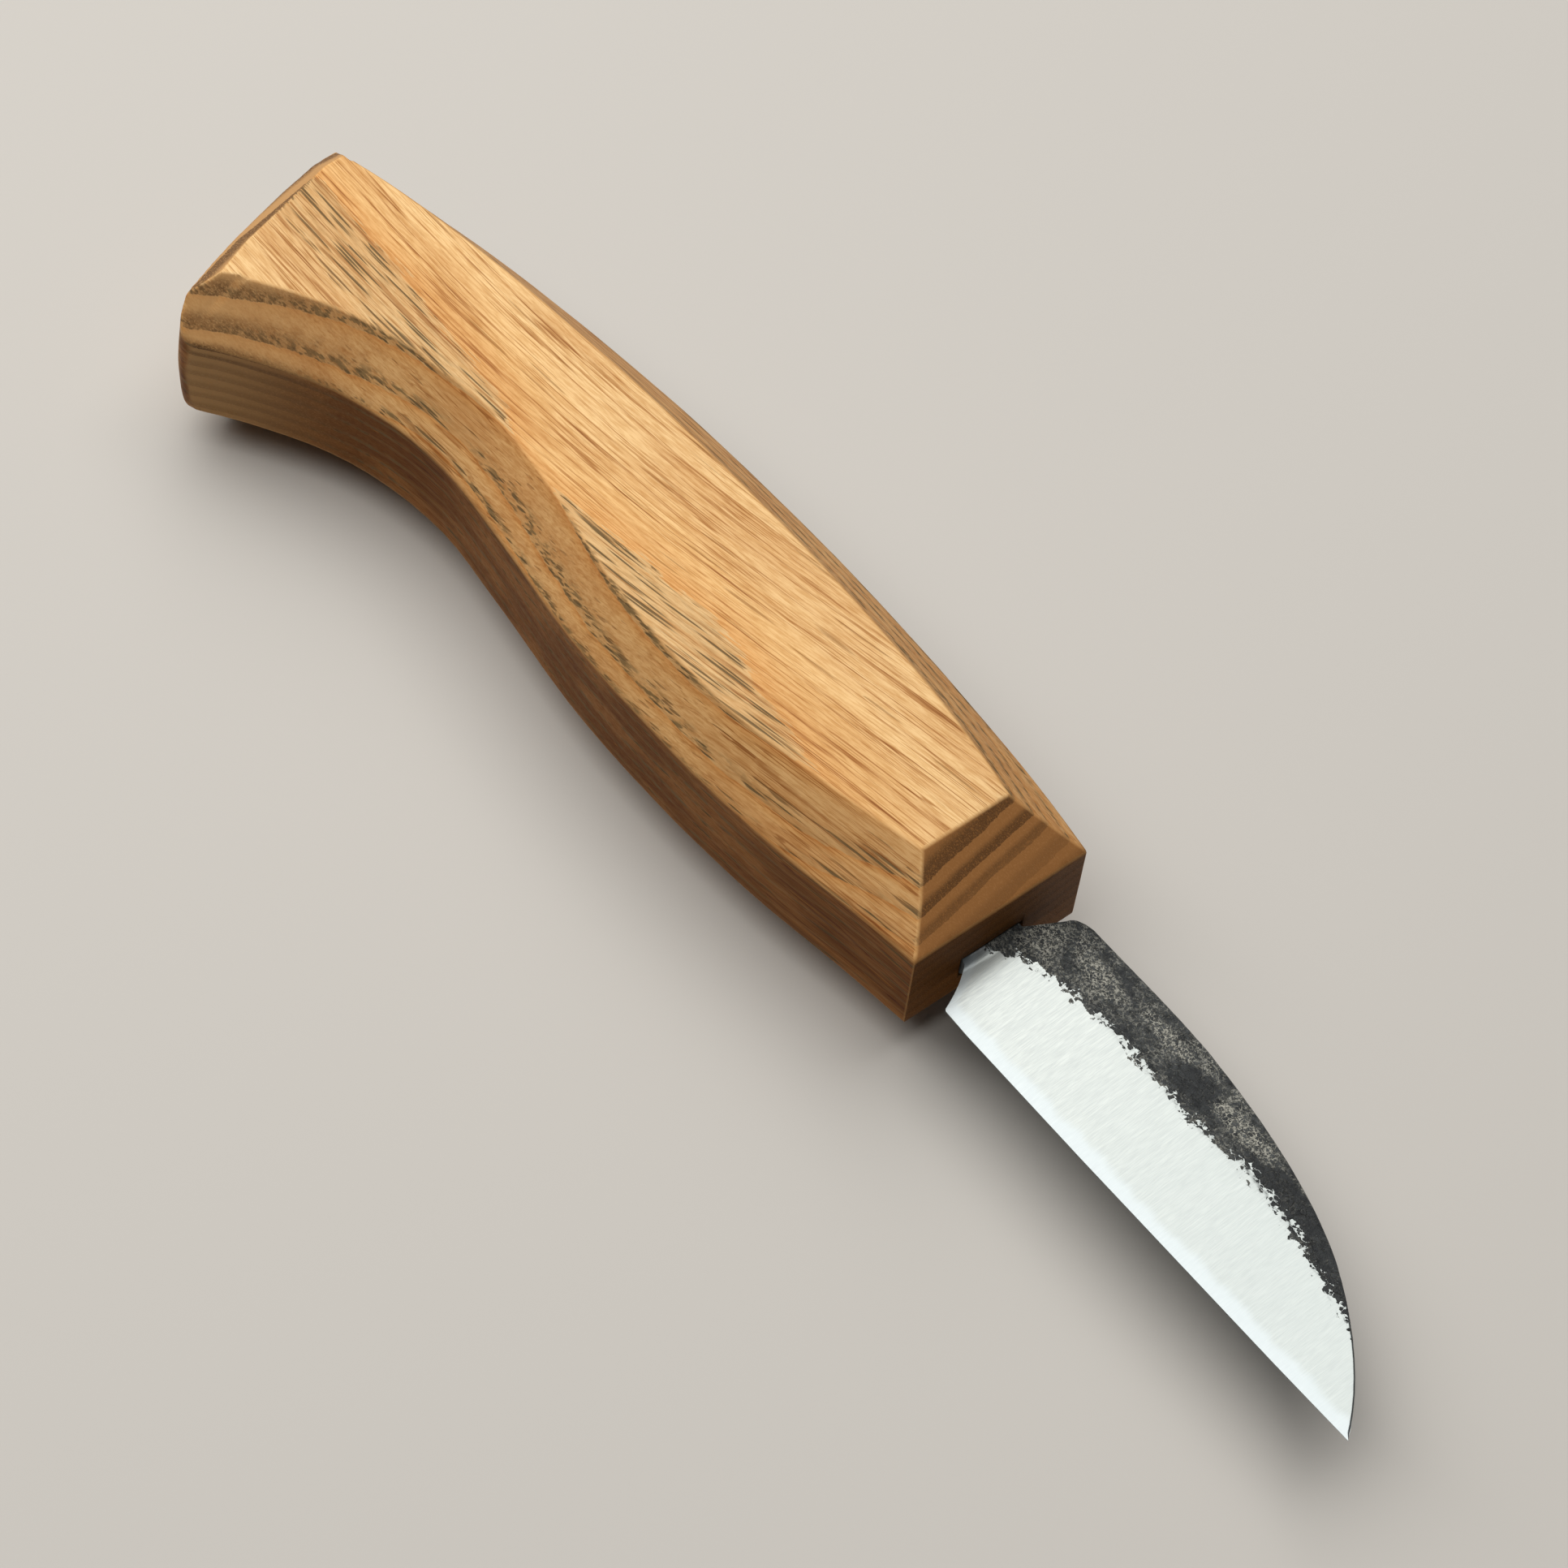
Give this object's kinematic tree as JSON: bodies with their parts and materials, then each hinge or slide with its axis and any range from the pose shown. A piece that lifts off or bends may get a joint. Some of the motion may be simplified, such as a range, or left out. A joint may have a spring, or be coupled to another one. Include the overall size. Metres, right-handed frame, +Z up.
{
  "type": "whittling knife",
  "caption": "Short fixed-blade whittling knife: forged blade with a straight edge and dark hammered band, stick tang set in a carved eight-sided wooden handle.",
  "frame": {"origin": "centre of the bounding box in X and Y, on the handle's lower flat side", "axes": "+X from the butt to the blade's point, +Y from the cutting edge to the spine, +Z up through the handle's thickness"},
  "size_m": [0.1802, 0.0388, 0.022],
  "materials": {
    "blade_steel": "satin ground bevel with fine grind lines across it, and a dark hammered forge-scale band along the spine",
    "handle_wood": "oiled, hand-carved ring-porous hardwood with crisp facets and fine dark pores",
    "tang_adhesive": "cured amber epoxy, hidden inside the handle"
  },
  "bodies": {
    "root": {"blade": "blade_steel", "handle": "handle_wood", "tang_epoxy": "tang_adhesive"}
  },
  "joints": []
}
